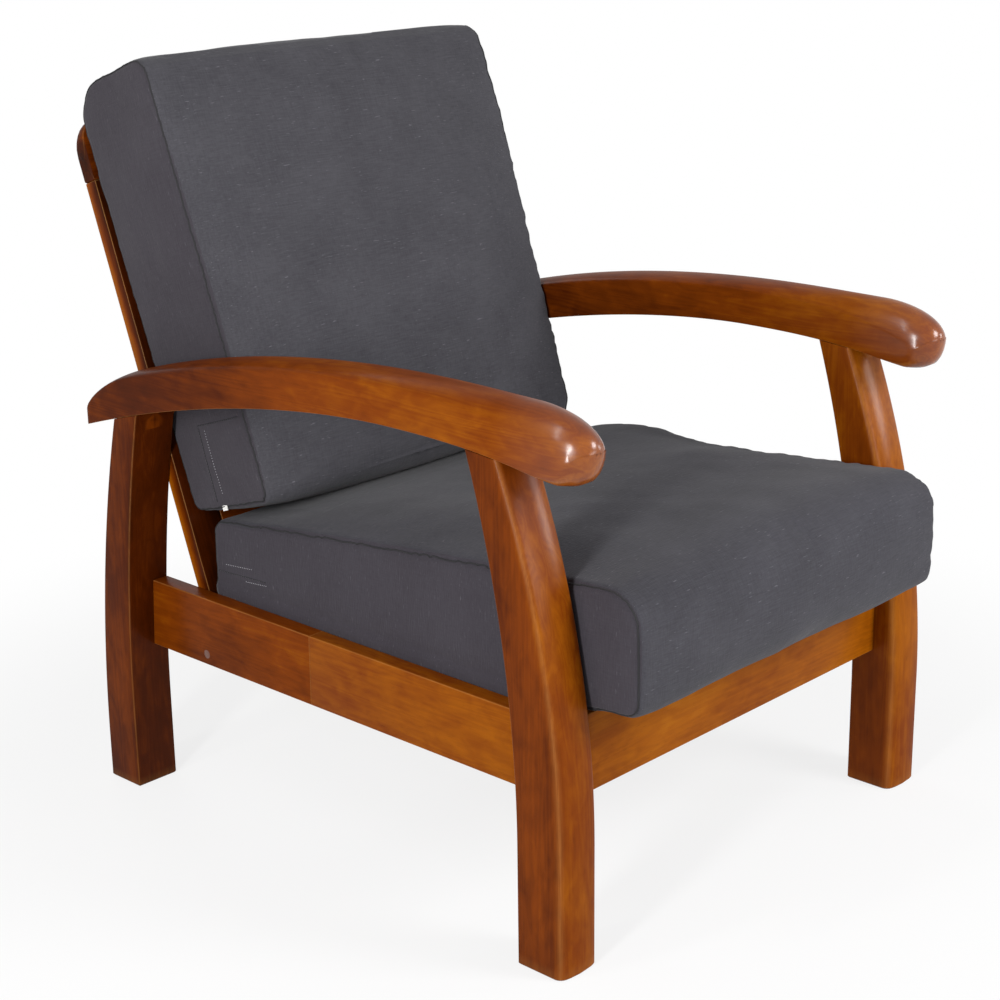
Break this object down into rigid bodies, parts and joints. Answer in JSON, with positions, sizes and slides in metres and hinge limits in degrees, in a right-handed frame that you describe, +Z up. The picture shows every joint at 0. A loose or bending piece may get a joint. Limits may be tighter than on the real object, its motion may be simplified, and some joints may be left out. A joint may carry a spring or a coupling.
{
  "type": "fireside chair",
  "caption": "Low lounge chair: bowed wooden legs under crowned arms, a raked slatted back and loose box cushions on a slatted seat.",
  "frame": {"origin": "on the floor, under the middle of the chair's box", "axes": "+X towards the sitter's left, +Y towards the back of the chair, +Z up; the sitter faces -Y"},
  "size_m": [0.68, 0.9028, 0.914],
  "materials": {
    "lacquered_wood": "stained hardwood under satin lacquer",
    "plain_wood": "sawn and planed, unfinished",
    "plug_wood": "dark end-grain plug, lacquered",
    "charcoal_weave": "slubbed plain weave",
    "foam_core": "open-cell foam",
    "zip_chain": "nylon coil on woven tape",
    "zinc_steel": "zinc plated",
    "label_tape": "blank satin tape"
  },
  "bodies": {
    "frame": {"front_leg_right": "lacquered_wood", "rear_leg_right": "lacquered_wood", "arm_right": "lacquered_wood", "side_rail_right": "lacquered_wood", "arm_stud_front_right": "zinc_steel", "arm_nut_front_right": "zinc_steel", "arm_stud_rear_right": "zinc_steel", "arm_nut_rear_right": "zinc_steel", "foot_screw_right": "zinc_steel", "rail_plug_right": "plug_wood", "front_leg_left": "lacquered_wood", "rear_leg_left": "lacquered_wood", "arm_left": "lacquered_wood", "side_rail_left": "lacquered_wood", "arm_stud_front_left": "zinc_steel", "arm_nut_front_left": "zinc_steel", "arm_stud_rear_left": "zinc_steel", "arm_nut_rear_left": "zinc_steel", "foot_screw_left": "zinc_steel", "rail_plug_left": "plug_wood", "front_rail": "lacquered_wood", "rear_rail": "lacquered_wood", "seat_cleat_right": "plain_wood", "corner_block_front_right": "plain_wood", "corner_block_rear_right": "plain_wood", "seat_cleat_left": "plain_wood", "corner_block_front_left": "plain_wood", "corner_block_rear_left": "plain_wood", "seat_slat_1": "plain_wood", "seat_slat_2": "plain_wood", "seat_slat_3": "plain_wood", "seat_slat_4": "plain_wood", "seat_slat_5": "plain_wood", "seat_slat_6": "plain_wood", "seat_slat_7": "plain_wood", "back_stile_right": "lacquered_wood", "back_screw_right": "zinc_steel", "back_stile_left": "lacquered_wood", "back_screw_left": "zinc_steel", "crest_rail": "lacquered_wood", "lower_back_rail": "lacquered_wood", "back_slat_1": "lacquered_wood", "back_slat_2": "lacquered_wood", "back_slat_3": "lacquered_wood", "back_slat_4": "lacquered_wood", "back_slat_5": "lacquered_wood"},
    "seat_cushion": {"seat_cushion_cover": "charcoal_weave", "seat_cushion_foam": "foam_core", "seat_zip": "zip_chain"},
    "back_cushion": {"back_cushion_cover": "charcoal_weave", "back_cushion_foam": "foam_core", "back_zip": "zip_chain", "care_label": "label_tape"},
    "seat_zip_slider": {"seat_zip_slider": "zinc_steel"},
    "seat_zip_pull": {"seat_zip_pull": "zinc_steel"},
    "back_zip_slider": {"back_zip_slider": "zinc_steel"}
  },
  "joints": [
    {"name": "seat_cushion_pull", "type": "slide", "parent": "frame", "child": "seat_cushion", "axis": [0, -0.9969, 0.0785], "range_m": [0, 0.45]},
    {"name": "back_cushion_lift", "type": "slide", "parent": "frame", "child": "back_cushion", "axis": [0, 0.3371, 0.9415], "range_m": [0, 0.5]},
    {"name": "seat_zip_run", "type": "slide", "parent": "seat_cushion", "child": "seat_zip_slider", "axis": [1, 0, 0], "range_m": [0, 0.292]},
    {"name": "seat_zip_pull_swing", "type": "hinge", "parent": "seat_zip_slider", "child": "seat_zip_pull", "pos_m": [-0.146, 0.23439, 0.326], "axis": [1, 0, 0], "range_deg": [0, 150]},
    {"name": "back_zip_run", "type": "slide", "parent": "back_cushion", "child": "back_zip_slider", "axis": [1, 0, 0], "range_m": [0, 0.292]}
  ]
}
